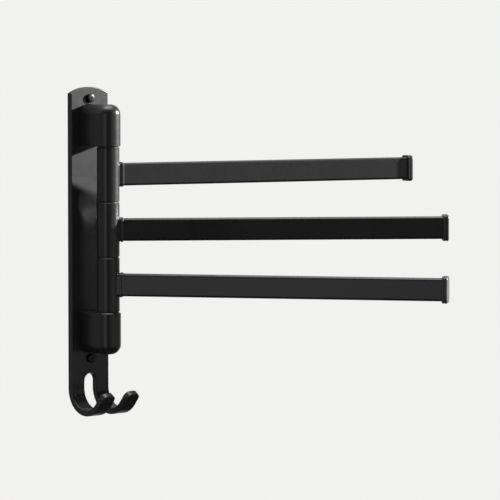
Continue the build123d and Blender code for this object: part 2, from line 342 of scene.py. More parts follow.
def complete(obj, body, slot, nodes):
    """Clean the mesh, shade it, give it its finish and let it stand for its CAD nodes."""
    choose(obj, "VERT", lambda vertex: True)
    bpy.ops.mesh.remove_doubles(threshold=SAME_PLACE)
    bpy.ops.mesh.normals_make_consistent(inside=False)
    close_edit()
    bpy.ops.object.shade_smooth_by_angle(angle=SMOOTH_ANGLE)
    apply_modifier(obj, "WEIGHTED_NORMAL", keep_sharp=True)
    obj.data.name = obj.name
    obj.data.materials.clear()
    obj.data.materials.append(finish_of(slot))
    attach(obj, body)
    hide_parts(*nodes)


def refinish(*nodes):
    """Give CAD nodes whose shape is right the finish of their own slot."""
    slots = {part["node"]: part["material_slot"] for part in frame["record"]["subparts"]}
    for node in nodes:
        piece = frame["nodes"][node]
        for number in range(len(piece.material_slots)):
            piece.material_slots[number].material = finish_of(slots[node])


def rounded_bar(name, start, end, width, height, corner, segments):
    """Bar along +X whose four long edges are rounded."""
    bpy.ops.object.select_all(action="DESELECT")
    bpy.ops.mesh.primitive_cube_add(
        size=1, location=((start + end) / 2, 0, 0), scale=(end - start, width, height)
    )
    bar = bpy.context.object
    bar.name = name
    bpy.ops.object.transform_apply(location=True, rotation=True, scale=True)
    long_edge = (end - start) / 2
    choose(bar, "EDGE", lambda edge: abs(edge.verts[0].co.x - edge.verts[1].co.x) > long_edge)
    bpy.ops.mesh.bevel(offset=corner, offset_type="OFFSET", segments=segments, affect="EDGES")
    close_edit()
    return bar


def on_plane(edge, distance):
    """True for an edge that lies in the plane across the bar at this distance."""
    return all(abs(vertex.co.x - distance) < SAME_PLANE for vertex in edge.verts)


def hollow_out(bar, wall):
    """Open both ends of a bar and give it a wall towards the inside."""
    choose(bar, "FACE", lambda face: abs(face.normal.x) > FACING)
    bpy.ops.mesh.delete(type="FACE")
    close_edit()
    apply_modifier(bar, "SOLIDIFY", thickness=wall, offset=-1, use_even_offset=True)


def turned(name, stations, segments):
    """Round piece along +Z, drawn out from a disc through (distance, radius) stations."""
    distance, radius = stations[0]
    bpy.ops.object.select_all(action="DESELECT")
    bpy.ops.mesh.primitive_circle_add(
        vertices=segments, radius=radius, fill_type="NGON", location=(0, 0, distance)
    )
    piece = bpy.context.object
    piece.name = name
    bpy.ops.object.transform_apply(location=True, rotation=True, scale=True)
    bpy.ops.object.mode_set(mode="EDIT")
    bpy.ops.mesh.select_all(action="SELECT")
    for next_distance, next_radius in stations[1:]:
        bpy.ops.mesh.extrude_region_move(
            TRANSFORM_OT_translate={"value": (0, 0, next_distance - distance)}
        )
        grow = next_radius / radius
        bpy.ops.transform.resize(value=(grow, grow, 1), center_override=(0, 0, next_distance))
        distance, radius = next_distance, next_radius
    bpy.ops.mesh.select_all(action="SELECT")
    bpy.ops.mesh.normals_make_consistent(inside=False)
    close_edit()
    return piece


def cut_cross(screw, top, sizes):
    """Cut a cross recess that narrows towards its floor into a screw's head."""
    floor = top + sizes.recess_depth
    floor_length, floor_width = 0.45, 0.6
    for turn in (0, math.pi / 2):
        depth = 2 * sizes.recess_depth
        bpy.ops.object.select_all(action="DESELECT")
        bpy.ops.mesh.primitive_cube_add(
            size=1, location=(0, 0, top), scale=(sizes.recess_length, sizes.recess_width, depth)
        )
        blade = bpy.context.object
        bpy.ops.object.transform_apply(location=True, rotation=True, scale=True)
        choose(blade, "FACE", lambda face: face.normal.z > FACING)
        bpy.ops.transform.resize(
            value=(floor_length, floor_width, 1), center_override=(0, 0, floor)
        )
        close_edit()
        place(blade, Matrix.Rotation(turn, 4, "Z"))
        cut(screw, blade)


def cut_hexagon(screw, radius, depth):
    """Cut a hexagon socket into the end of a screw that lies at the origin."""
    bpy.ops.object.select_all(action="DESELECT")
    bpy.ops.mesh.primitive_cylinder_add(vertices=6, radius=radius, depth=2 * depth, location=(0, 0, 0))
    key = bpy.context.object
    bpy.ops.object.transform_apply(location=True, rotation=True, scale=True)
    cut(screw, key)


def add_thread(screw, start, end, sizes):
    """Wind a sharp ridge round a screw from start to its tip, and fuse it on."""
    steps = 24
    foot = 0.32 * sizes.pitch
    point = 0.02
    bpy.ops.object.select_all(action="DESELECT")
    bpy.ops.mesh.primitive_circle_add(
        vertices=3, radius=foot, fill_type="NOTHING", location=(0, 0, 0)
    )
    ridge = bpy.context.object
    ridge.name = "thread_ridge"
    choose(ridge, "VERT", lambda vertex: True)
    mesh = bmesh.from_edit_mesh(ridge.data)
    mesh.verts.ensure_lookup_table()
    inside = 0.85 * sizes.core_radius
    corners = ((inside, -foot), (sizes.thread_radius, 0), (inside, foot))
    for vertex, (radius, rise) in zip(mesh.verts, corners):
        vertex.co = (radius, 0, start + rise)
    bmesh.update_edit_mesh(ridge.data)
    close_edit()
    turns = int((end - start) / sizes.pitch)
    apply_modifier(
        ridge, "SCREW", axis="Z", screw_offset=sizes.pitch, angle=2 * math.pi, iterations=turns,
        steps=steps, render_steps=steps, use_merge_vertices=True,
    )
    choose(ridge, "EDGE", lambda edge: len(edge.link_faces) == 1)
    bpy.ops.mesh.edge_face_add()
    bpy.ops.mesh.select_all(action="SELECT")
    bpy.ops.mesh.normals_make_consistent(inside=False)
    close_edit()
    tip_start = end - sizes.tip_length
    for vertex in ridge.data.vertices:
        beyond = max(0.0, vertex.co.z - tip_start) / sizes.tip_length
        shrink = max(point, 1 - beyond)
        vertex.co.x *= shrink
        vertex.co.y *= shrink
    unite(screw, ridge)


# ---- finishes -------------------------------------------------------------------------


def group_with(name, inputs, outputs):
    """New shader node group with named inputs and outputs."""
    tree = bpy.data.node_groups.new(name, "ShaderNodeTree")
    for label, kind, default in inputs:
        socket = tree.interface.new_socket(name=label, in_out="INPUT", socket_type=kind)
        if default is not None:
            socket.default_value = default
    for label, kind in outputs:
        tree.interface.new_socket(name=label, in_out="OUTPUT", socket_type=kind)
    start = tree.nodes.new("NodeGroupInput")
    end = tree.nodes.new("NodeGroupOutput")
    return tree, start, end


def maths(tree, operation, first, second=None):
    """One Math node; numbers are typed in, sockets are linked."""
    node = tree.nodes.new("ShaderNodeMath")
    node.operation = operation
    for number, value in enumerate((first, second)):
        if value is None:
            continue
        if isinstance(value, (int, float)):
            node.inputs[number].default_value = value
        else:
            tree.links.new(value, node.inputs[number])
    return node.outputs["Value"]


def noise(tree, vector, scale, detail):
    """Noise pattern as a value from 0 to 1."""
    node = tree.nodes.new("ShaderNodeTexNoise")
    tree.links.new(vector, node.inputs["Vector"])
    if isinstance(scale, (int, float)):
        node.inputs["Scale"].default_value = scale
    else:
        tree.links.new(scale, node.inputs["Scale"])
    node.inputs["Detail"].default_value = detail
    return node.outputs["Fac"]


def remap(tree, value, low, high, to_low=0.0, to_high=1.0):
    """Value stretched from one range to another, without leaving it."""
    node = tree.nodes.new("ShaderNodeMapRange")
    node.interpolation_type = "SMOOTHSTEP"
    node.inputs["From Min"].default_value = low
    node.inputs["From Max"].default_value = high
    node.inputs["To Min"].default_value = to_low
    node.inputs["To Max"].default_value = to_high
    tree.links.new(value, node.inputs["Value"])
    return node.outputs["Result"]


def mix_colours(tree, factor, first, second):
    """Two colours mixed by a varying factor."""
    node = tree.nodes.new("ShaderNodeMix")
    node.data_type = "RGBA"
    tree.links.new(factor, node.inputs["Factor"])
    for label, value in (("A", first), ("B", second)):
        socket = [s for s in node.inputs if s.name == label and s.type == "RGBA"][0]
        if isinstance(value, tuple):
            socket.default_value = value
        else:
            tree.links.new(value, socket)
    return [s for s in node.outputs if s.type == "RGBA"][0]


def orange_peel_group():
    """Fine uneven skin of a sprayed or moulded surface, as a normal."""
    tree, start, end = group_with(
        "Orange peel",
        [
            ("Vector", "NodeSocketVector", None),
            ("Waves per metre", "NodeSocketFloat", 500.0),
            ("Grains per metre", "NodeSocketFloat", 4000.0),
            ("Height", "NodeSocketFloat", 0.000002),
        ],
        [("Normal", "NodeSocketVector")],
    )
    waves = noise(tree, start.outputs["Vector"], start.outputs["Waves per metre"], detail=1.0)
    grains = noise(tree, start.outputs["Vector"], start.outputs["Grains per metre"], detail=2.0)
    grain_share = 0.12
    both = maths(tree, "ADD", waves, maths(tree, "MULTIPLY", grains, grain_share))
    bump = tree.nodes.new("ShaderNodeBump")
    tree.links.new(start.outputs["Height"], bump.inputs["Distance"])
    tree.links.new(both, bump.inputs["Height"])
    tree.links.new(bump.outputs["Normal"], end.inputs["Normal"])
    return tree


def handling_group():
    """Soft patches where a surface is a little duller, from handling and cleaning."""
    tree, start, end = group_with(
        "Handling marks",
        [
            ("Vector", "NodeSocketVector", None),
            ("Patches per metre", "NodeSocketFloat", 22.0),
            ("Cleanest", "NodeSocketFloat", 0.10),
            ("Dullest", "NodeSocketFloat", 0.14),
        ],
        [("Roughness", "NodeSocketFloat"), ("Marks", "NodeSocketFloat")],
    )
    patches = noise(tree, start.outputs["Vector"], start.outputs["Patches per metre"], detail=3.0)
    streaks_per_patch = 14.0
    fine_scale = maths(tree, "MULTIPLY", start.outputs["Patches per metre"], streaks_per_patch)
    streaks = noise(tree, start.outputs["Vector"], fine_scale, detail=4.0)
    marks = remap(tree, maths(tree, "MULTIPLY", patches, streaks), low=0.18, high=0.36)
    span = maths(tree, "SUBTRACT", start.outputs["Dullest"], start.outputs["Cleanest"])
    rough = maths(tree, "ADD", start.outputs["Cleanest"], maths(tree, "MULTIPLY", marks, span))
    tree.links.new(rough, end.inputs["Roughness"])
    tree.links.new(marks, end.inputs["Marks"])
    return tree


def edge_wear_group():
    """Mask of the outer edges, broken up by a fine pattern."""
    tree, start, end = group_with(
        "Edge wear",
        [
            ("Vector", "NodeSocketVector", None),
            ("Radius", "NodeSocketFloat", 0.0006),
            ("Breaks per metre", "NodeSocketFloat", 300.0),
        ],
        [("Mask", "NodeSocketFloat")],
    )
    rounded = tree.nodes.new("ShaderNodeBevel")
    rounded.samples = 6
    tree.links.new(start.outputs["Radius"], rounded.inputs["Radius"])
    surface = tree.nodes.new("ShaderNodeNewGeometry")
    turn = tree.nodes.new("ShaderNodeVectorMath")
    turn.operation = "DOT_PRODUCT"
    tree.links.new(rounded.outputs["Normal"], turn.inputs[0])
    tree.links.new(surface.outputs["Normal"], turn.inputs[1])
    edge = remap(tree, maths(tree, "SUBTRACT", 1.0, turn.outputs["Value"]), low=0.01, high=0.12)
    breaks = noise(tree, start.outputs["Vector"], start.outputs["Breaks per metre"], detail=3.0)
    mask = maths(tree, "MULTIPLY", edge, remap(tree, breaks, low=0.35, high=0.65))
    tree.links.new(mask, end.inputs["Mask"])
    return tree


def dust_group():
    """Thin dust that settles on faces that look upwards."""
    tree, start, end = group_with(
        "Settled dust",
        [
            ("Vector", "NodeSocketVector", None),
            ("Specks per metre", "NodeSocketFloat", 900.0),
            ("Amount", "NodeSocketFloat", 0.3),
        ],
        [("Mask", "NodeSocketFloat")],
    )
    surface = tree.nodes.new("ShaderNodeNewGeometry")
    parts = tree.nodes.new("ShaderNodeSeparateXYZ")
    tree.links.new(surface.outputs["Normal"], parts.inputs["Vector"])
    up = remap(tree, parts.outputs["Z"], low=0.55, high=0.98)
    specks = noise(tree, start.outputs["Vector"], start.outputs["Specks per metre"], detail=4.0)
    settled = maths(tree, "MULTIPLY", up, remap(tree, specks, low=0.40, high=0.75))
    tree.links.new(maths(tree, "MULTIPLY", settled, start.outputs["Amount"]), end.inputs["Mask"])
    return tree


def turning_group():
    """Fine rings left by turning or grinding round the Z axis, as a normal."""
    tree, start, end = group_with(
        "Turning marks",
        [
            ("Vector", "NodeSocketVector", None),
            ("Rings per metre", "NodeSocketFloat", 2500.0),
            ("Height", "NodeSocketFloat", 0.000002),
        ],
        [("Normal", "NodeSocketVector")],
    )
    stretch = tree.nodes.new("ShaderNodeMapping")
    stretch.inputs["Scale"].default_value = (0.02, 0.02, 1.0)
    tree.links.new(start.outputs["Vector"], stretch.inputs["Vector"])
    rings = noise(tree, stretch.outputs["Vector"], start.outputs["Rings per metre"], detail=2.0)
    bump = tree.nodes.new("ShaderNodeBump")
    tree.links.new(start.outputs["Height"], bump.inputs["Distance"])
    tree.links.new(rings, bump.inputs["Height"])
    tree.links.new(bump.outputs["Normal"], end.inputs["Normal"])
    return tree


EFFECTS = {
    "Orange peel": orange_peel_group,
    "Handling marks": handling_group,
    "Edge wear": edge_wear_group,
    "Settled dust": dust_group,
    "Turning marks": turning_group,
}


def effect(material, name, **values):
    """Place one of the shared effects in a material, reading the piece's own coordinates."""
    tree = material.node_tree
    if name not in bpy.data.node_groups:
        EFFECTS[name]()
    node = tree.nodes.new("ShaderNodeGroup")
    node.node_tree = bpy.data.node_groups[name]
    coordinates = tree.nodes.get("Piece coordinates")
    if coordinates is None:
        coordinates = tree.nodes.new("ShaderNodeTexCoord")
        coordinates.name = "Piece coordinates"
    tree.links.new(coordinates.outputs["Object"], node.inputs["Vector"])
    for label, value in values.items():
        node.inputs[label.replace("_", " ")].default_value = value
    return node


def opaque(colour):
    """RGB as an RGBA tuple."""
    return (*colour, 1.0)


def lighter(colour, times):
    """The same hue, times as bright."""
    return (*[min(1.0, part * times) for part in colour], 1.0)


def bare_material(name):
    """New material with its Principled shader."""
    material = bpy.data.materials.new(name)
    material.use_nodes = True
    return material, material.node_tree.nodes["Principled BSDF"]


def black_finish(name, colour, cleanest, dullest, waves, grains, height):
    """Black skin with orange peel, handling marks, paler edges and a trace of dust."""
    handled_times, worn_times, dusty_times = 1.12, 1.5, 3.75
    dust_dulls = 0.15
    material, shader = bare_material(name)
    tree = material.node_tree
    shader.inputs["IOR"].default_value = 1.5
    handled = effect(material, "Handling marks", Cleanest=cleanest, Dullest=dullest)
    worn = effect(material, "Edge wear")
    dusty = effect(material, "Settled dust", Amount=0.25)
    skin = effect(
        material, "Orange peel", Waves_per_metre=waves, Grains_per_metre=grains, Height=height
    )
    handled_colour = mix_colours(
        tree, handled.outputs["Marks"], opaque(colour), lighter(colour, handled_times)
    )
    worn_colour = mix_colours(tree, worn.outputs["Mask"], handled_colour, lighter(colour, worn_times))
    dust_colour = mix_colours(
        tree, dusty.outputs["Mask"], worn_colour, lighter(colour, dusty_times)
    )
    tree.links.new(dust_colour, shader.inputs["Base Color"])
    duller = maths(tree, "MULTIPLY", dusty.outputs["Mask"], dust_dulls)
    roughness = maths(tree, "ADD", handled.outputs["Roughness"], duller)
    tree.links.new(roughness, shader.inputs["Roughness"])
    tree.links.new(skin.outputs["Normal"], shader.inputs["Normal"])
    return material


def metal_finish(name, colour, cleanest, dullest, rings, height):
    """Turned or ground steel, duller where it is handled and brighter at its edges."""
    patina_times, worn_times = 0.7, 1.8
    material, shader = bare_material(name)
    tree = material.node_tree
    shader.inputs["Metallic"].default_value = 1.0
    handled = effect(
        material, "Handling marks", Cleanest=cleanest, Dullest=dullest, Patches_per_metre=80.0
    )
    turning = effect(material, "Turning marks", Rings_per_metre=rings, Height=height)
    worn = effect(material, "Edge wear", Radius=0.0003)
    patina = mix_colours(
        tree, handled.outputs["Marks"], opaque(colour), lighter(colour, patina_times)
    )
    worn_colour = mix_colours(tree, worn.outputs["Mask"], patina, lighter(colour, worn_times))
    tree.links.new(worn_colour, shader.inputs["Base Color"])
    tree.links.new(handled.outputs["Roughness"], shader.inputs["Roughness"])
    tree.links.new(turning.outputs["Normal"], shader.inputs["Normal"])
    return material


def coated_aluminium():
    """Satin black coat of the plate, housings, hubs and tubes."""
    return black_finish(
        "Black coated aluminium", bpy.context.scene.rack_looks.coat,
        cleanest=0.285, dullest=0.305, waves=420.0, grains=3800.0, height=0.5e-6,
    )


def black_plastic():
    """Moulded plastic of the collars and caps."""
    return black_finish(
        "Moulded black plastic", bpy.context.scene.rack_looks.plastic,
        cleanest=0.36, dullest=0.42, waves=900.0, grains=6000.0, height=1.0e-6,
    )


def black_nylon():
    """Nylon of the washers and bushes."""
    return black_finish(
        "Black nylon", bpy.context.scene.rack_looks.nylon,
        cleanest=0.38, dullest=0.50, waves=1500.0, grains=8000.0, height=4.0e-6,
    )


def dark_steel():
    """Blackened steel of the screws."""
    return metal_finish(
        "Blackened steel", bpy.context.scene.rack_looks.dark_steel,
        cleanest=0.33, dullest=0.36, rings=4000.0, height=0.6e-6,
    )


def bright_steel():
    """Ground steel of the shaft."""
    return metal_finish(
        "Ground steel", bpy.context.scene.rack_looks.bright_steel,
        cleanest=0.18, dullest=0.30, rings=2500.0, height=1.5e-6,
    )


FINISHES = {
    "coated_aluminium": coated_aluminium,
    "black_plastic": black_plastic,
    "black_nylon": black_nylon,
    "dark_steel": dark_steel,
    "bright_steel": bright_steel,
}
made_finishes = {}


def finish_of(slot):
    """The finish of one of the record's material slots, built the first time it is asked for."""
    if slot not in made_finishes:
        made_finishes[slot] = FINISHES[slot]()
    return made_finishes[slot]


# ---- stage ------------------------------------------------------------------------------

# radiance round the horizon, by azimuth in degrees counted from the room in front of the rack
# towards its right
HORIZON = (
    (-180, 0.30), (-155, 0.30), (-142, 0.22), (-95, 0.20), (-82, 0.45), (-74, 1.10), (-64, 0.90),
    (-54, 0.02), (-34, 0.02), (-12, 0.40), (20, 0.45), (60, 0.20), (100, 0.50), (114, 1.20), (126, 0.95),
    (138, 0.85), (150, 1.50), (165, 0.80),
)
CEILING = 8.0
BACK_WALL = 0.5
SHADE = 0.02
# heights in degrees between which each light comes in or fades out
STRIPS_FOOT = (-40, -20)
STRIPS_TOP = (18, 10)
BACK_WALL_FOOT = (8, 16)
CEILING_EDGE = (48, 88)
# flags in front of the key light: their sides and upper edge, in metres from the front of the
# shaft at half its height, as the light sees it
FLAGS = {
    "hub_flag": {"left": -0.045, "right": 0.013, "edge": -0.005},
    "plate_flag": {"left": 0.013, "right": 0.045, "edge": 0.026},
}


def light_by_direction(tree):
    """Soft studio light: strips round the horizon, a pale wall behind and a bright ceiling."""
    direction = tree.nodes.new("ShaderNodeTexCoord").outputs["Generated"]
    parts = tree.nodes.new("ShaderNodeSeparateXYZ")
    tree.links.new(direction, parts.inputs["Vector"])
    to_room = maths(tree, "MULTIPLY", parts.outputs["Y"], -1.0)
    azimuth = maths(tree, "ARCTAN2", parts.outputs["X"], to_room)
    share = maths(tree, "ADD", maths(tree, "DIVIDE", azimuth, 2 * math.pi), 0.5)
    ramp = tree.nodes.new("ShaderNodeValToRGB")
    elements = ramp.color_ramp.elements
    elements.remove(elements[1])
    for degrees, radiance in HORIZON:
        element = elements[0] if degrees == HORIZON[0][0] else elements.new(degrees / 360 + 0.5)
        element.color = opaque([radiance] * 3)
    tree.links.new(share, ramp.inputs["Fac"])
    elevation = maths(tree, "MULTIPLY", maths(tree, "ARCSINE", parts.outputs["Z"]), 180 / math.pi)
    band = maths(
        tree, "MULTIPLY", remap(tree, elevation, *STRIPS_FOOT), remap(tree, elevation, *STRIPS_TOP)
    )
    strips = maths(tree, "MULTIPLY", ramp.outputs["Color"], band)
    behind = remap(tree, parts.outputs["Y"], low=0.0, high=0.25)
    above_foot = remap(tree, elevation, *BACK_WALL_FOOT, to_high=BACK_WALL)
    wall = maths(tree, "MULTIPLY", behind, above_foot)
    ceiling = remap(tree, elevation, *CEILING_EDGE, to_high=CEILING)
    lit = maths(tree, "ADD", maths(tree, "ADD", strips, wall), ceiling)
    return maths(tree, "ADD", lit, SHADE)


def build_world(backdrop):
    """World whose light comes by direction, while the camera sees a plain pale backdrop."""
    world = bpy.data.worlds.new("Studio")
    world.use_nodes = True
    tree = world.node_tree
    tree.nodes.clear()
    light = tree.nodes.new("ShaderNodeBackground")
    tree.links.new(light_by_direction(tree), light.inputs["Strength"])
    pale = tree.nodes.new("ShaderNodeBackground")
    pale.inputs["Color"].default_value = opaque(backdrop)
    path = tree.nodes.new("ShaderNodeLightPath")
    mix = tree.nodes.new("ShaderNodeMixShader")
    tree.links.new(path.outputs["Is Camera Ray"], mix.inputs["Fac"])
    tree.links.new(light.outputs["Background"], mix.inputs[1])
    tree.links.new(pale.outputs["Background"], mix.inputs[2])
    output = tree.nodes.new("ShaderNodeOutputWorld")
    tree.links.new(mix.outputs["Shader"], output.inputs["Surface"])
    bpy.context.scene.world = world


def floor_material(backdrop, radius):
    """Matt pale floor that fades into the backdrop and throws little light back up."""
    thrown_back, darkest, palest = 0.22, 0.44, 0.47
    material, shader = bare_material("Pale floor")
    tree = material.node_tree
    shader.inputs["Roughness"].default_value = 0.9
    shader.inputs["Specular IOR Level"].default_value = 0.1
    coordinates = tree.nodes.new("ShaderNodeTexCoord")
    grain = noise(tree, coordinates.outputs["Object"], scale=60.0, detail=3.0)
    path = tree.nodes.new("ShaderNodeLightPath")
    seen = mix_colours(tree, grain, lighter(backdrop, darkest), lighter(backdrop, palest))
    tone = mix_colours(
        tree, path.outputs["Is Camera Ray"], lighter(backdrop, thrown_back), seen
    )
    tree.links.new(tone, shader.inputs["Base Color"])
    length = tree.nodes.new("ShaderNodeVectorMath")
    length.operation = "LENGTH"
    tree.links.new(coordinates.outputs["Object"], length.inputs[0])
    fade_start = 0.35 * radius
    shown = remap(tree, length.outputs["Value"], low=radius, high=fade_start)
    tree.links.new(shown, shader.inputs["Alpha"])
    return material


def build_floor(stage, material):
    """Round pale floor below the rack."""
    low = cad_box[0]
    bpy.ops.object.select_all(action="DESELECT")
    bpy.ops.mesh.primitive_circle_add(
        vertices=96, radius=stage.floor_radius, fill_type="NGON",
        location=(0, 0, low.z - stage.floor_drop),
    )
    floor = bpy.context.object
    floor.name = "floor"
    floor.data.materials.append(material)
    floor.visible_glossy = False


def towards_key(stage):
    """Direction from the rack to the key light."""
    return Vector((
        math.sin(stage.key_azimuth) * math.cos(stage.key_elevation),
        -math.cos(stage.key_azimuth) * math.cos(stage.key_elevation),
        math.sin(stage.key_elevation),
    ))


def build_key(stage):
    """Key light from the right, a little above the rack."""
    bpy.ops.object.select_all(action="DESELECT")
    bpy.ops.object.light_add(type="SUN", location=(0, 0, 0))
    key = bpy.context.object
    key.name = "Key"
    key.data.energy = stage.key_strength
    key.data.angle = stage.key_softness
    key.rotation_mode = "QUATERNION"
    key.rotation_quaternion = towards_key(stage).to_track_quat("Z", "Y")


def build_flag(stage, material, name, left, right, edge):
    """Flag that keeps the key light off what lies lower; it only casts its shadow."""
    across = Vector((math.cos(stage.key_azimuth), math.sin(stage.key_azimuth), 0))
    towards = towards_key(stage)
    upwards = towards.cross(across)
    shaft_front = Vector((0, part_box("pivot_shaft")[0].y, 0))
    sideways = across * (left + right) / 2
    below = upwards * (edge - stage.flag_height / 2)
    middle = shaft_front + towards * stage.flag_distance + sideways + below
    bpy.ops.object.select_all(action="DESELECT")
    bpy.ops.mesh.primitive_plane_add(size=1, location=(0, 0, 0))
    flag = bpy.context.object
    flag.name = name
    turn = Matrix((across, upwards, towards)).transposed().to_4x4()
    size = Matrix.Diagonal((right - left, stage.flag_height, 1, 1))
    place(flag, Matrix.Translation(middle) @ turn @ size)
    flag.data.materials.append(material)
    flag.visible_camera = False
    flag.visible_diffuse = False
    flag.visible_glossy = False


def build_camera(stage):
    """Camera at the side and height from which the rack is shown."""
    back = Vector((
        math.sin(stage.azimuth) * math.cos(stage.elevation),
        -math.cos(stage.azimuth) * math.cos(stage.elevation),
        math.sin(stage.elevation),
    ))
    data = bpy.data.cameras.new("Camera")
    data.lens = stage.lens
    data.sensor_width = 36.0
    data.clip_end = 100.0
    camera = bpy.data.objects.new("Camera", data)
    camera.location = Vector(stage.aim) + back * stage.distance
    camera.rotation_mode = "QUATERNION"
    camera.rotation_quaternion = (-back).to_track_quat("-Z", "Y")
    bpy.context.scene.collection.objects.link(camera)
    bpy.context.scene.camera = camera


class RACK_OT_stage(bpy.types.Operator):
    """Set the camera, the pale floor, the studio light and the flags in front of it"""

    bl_idname = "rack.stage"
    bl_label = "Stage"

    def execute(self, context):
        stage = context.scene.rack_stage
        context.scene.view_settings.view_transform = "Standard"
        build_world(stage.backdrop)
        pale = floor_material(stage.backdrop, stage.floor_radius)
        build_floor(stage, pale)
        build_key(stage)
        for name, sides in FLAGS.items():
            build_flag(stage, pale, name, **sides)
        build_camera(stage)
        return {"FINISHED"}


# ---- pieces -------------------------------------------------------------------------------


class RACK_OT_bracket(bpy.types.Operator):
    """Finish the back plate and both housings, whose shapes come from the frame"""

    bl_idname = "rack.bracket"
    bl_label = "Plate and housings"

    def execute(self, context):
        refinish("back_plate", "top_housing", "bottom_housing")
        return {"FINISHED"}


class RACK_OT_pivot(bpy.types.Operator):
    """Finish the shaft, the hubs, their bushes and the washers between them"""

    bl_idname = "rack.pivot"
    bl_label = "Shaft, hubs and washers"

    def execute(self, context):
        refinish("pivot_shaft")
        refinish("top_washer", "upper_middle_washer", "lower_middle_washer", "bottom_washer")
        for arm in ARMS:
            refinish(f"{arm}_arm_hub", f"{arm}_arm_upper_bush", f"{arm}_arm_lower_bush")
        return {"FINISHED"}


class RACK_OT_arm_tubes(bpy.types.Operator):
    """Model the rectangular tube of each arm, with the hole for its screw"""

    bl_idname = "rack.arm_tubes"
    bl_label = "Arm tubes"

    def execute(self, context):
        sizes = context.scene.rack_arms
        screw_gap = 0.1 * MM
        for arm in ARMS:
            start, end = arm_span(arm, "tube")
            tube = rounded_bar(
                f"{arm}_tube", start, end, sizes.tube_width, sizes.tube_height,
                sizes.tube_corner, segments=8,
            )
            hollow_out(tube, sizes.tube_wall)
            bpy.ops.object.select_all(action="DESELECT")
            bpy.ops.mesh.primitive_cylinder_add(
                vertices=ROUND_SIDES, radius=sizes.screw_radius + screw_gap,
                depth=4 * sizes.tube_wall,
                location=(sizes.screw_distance, 0, -sizes.tube_height / 2),
            )
            drill = bpy.context.object
            bpy.ops.object.transform_apply(location=True, rotation=True, scale=True)
            cut(tube, drill)
            place(tube, arm_place(arm))
            complete(tube, f"{arm}_arm", "coated_aluminium", [f"{arm}_arm_tube"])
        return {"FINISHED"}


class RACK_OT_collars(bpy.types.Operator):
    """Model the ring between each hub and its tube"""

    bl_idname = "rack.collars"
    bl_label = "Collars"

    def execute(self, context):
        sizes = context.scene.rack_arms
        rim = sizes.collar_rim
        for arm in ARMS:
            start, end = arm_span(arm, "collar")
            collar = rounded_bar(
                f"{arm}_collar", start, end, sizes.tube_width + 2 * rim,
                sizes.tube_height + 2 * rim, sizes.tube_corner + rim, segments=8,
            )
            choose(collar, "EDGE", lambda edge: on_plane(edge, start) or on_plane(edge, end))
            bpy.ops.mesh.bevel(offset=sizes.collar_edge, segments=4, affect="EDGES")
            close_edit()
            mouth = rounded_bar(
                "collar_mouth", start - rim, end + rim, sizes.tube_width - 2 * sizes.tube_wall,
                sizes.tube_height - 2 * sizes.tube_wall, sizes.tube_corner - sizes.tube_wall,
                segments=5,
            )
            cut(collar, mouth)
            place(collar, arm_place(arm))
            complete(collar, f"{arm}_arm", "black_plastic", [f"{arm}_arm_collar"])
        return {"FINISHED"}


class RACK_OT_end_caps(bpy.types.Operator):
    """Model the grooved cap that closes the end of each arm"""

    bl_idname = "rack.end_caps"
    bl_label = "End caps"

    def execute(self, context):
        sizes = context.scene.rack_caps
        tube = context.scene.rack_arms
        for arm in ARMS:
            plug_start, end = arm_span(arm, "cap")
            start = end - sizes.length
            cap = rounded_bar(
                f"{arm}_cap", start, end, sizes.width, sizes.height, sizes.corner, segments=10
            )
            self.cut_groove(cap, start + sizes.groove_start, sizes)
            choose(cap, "EDGE", lambda edge: on_plane(edge, end))
            bpy.ops.mesh.bevel(offset=sizes.edge, segments=6, affect="EDGES")
            choose(cap, "EDGE", lambda edge: on_plane(edge, start))
            bpy.ops.mesh.bevel(offset=sizes.groove_depth, segments=4, affect="EDGES")
            close_edit()
            self.add_plug(cap, start, plug_start, sizes, tube)
            place(cap, arm_place(arm))
            complete(cap, f"{arm}_arm", "black_plastic", [f"{arm}_arm_cap"])
        return {"FINISHED"}

    def cut_groove(self, cap, groove, sizes):
        """Sink a band of the cap all round."""
        for distance in (groove, groove + sizes.groove_width):
            choose(cap, "FACE", lambda face: True)
            bpy.ops.mesh.bisect(plane_co=(distance, 0, 0), plane_no=(1, 0, 0))
        middle = groove + sizes.groove_width / 2
        choose(
            cap, "FACE",
            lambda face: abs(face.calc_center_median().x - middle) < sizes.groove_width / 4
            and abs(face.normal.x) < 1 - FACING,
        )
        bpy.ops.mesh.extrude_region_move(TRANSFORM_OT_translate={"value": (0, 0, 0)})
        narrow = 1 - 2 * sizes.groove_depth / sizes.width
        lower = 1 - 2 * sizes.groove_depth / sizes.height
        bpy.ops.transform.resize(value=(1, narrow, lower), center_override=(middle, 0, 0))
        close_edit()

    def add_plug(self, cap, start, plug_start, sizes, tube):
        """Draw the plug out of the cap's inner face."""
        height = tube.tube_height - 2 * (tube.tube_wall + sizes.plug_gap)
        width = tube.tube_width - 2 * (tube.tube_wall + sizes.plug_gap)
        choose(
            cap, "FACE",
            lambda face: face.normal.x < -FACING
            and abs(face.calc_center_median().x - start) < SAME_PLANE,
        )
        rim = sizes.groove_depth
        bpy.ops.mesh.inset(thickness=(sizes.height - height) / 2 - rim)
        inset_width = sizes.width - (sizes.height - height)
        bpy.ops.transform.resize(value=(1, width / inset_width, 1), center_override=(start, 0, 0))
        bpy.ops.mesh.extrude_region_move(
            TRANSFORM_OT_translate={"value": (plug_start - start, 0, 0)}
        )
        close_edit()


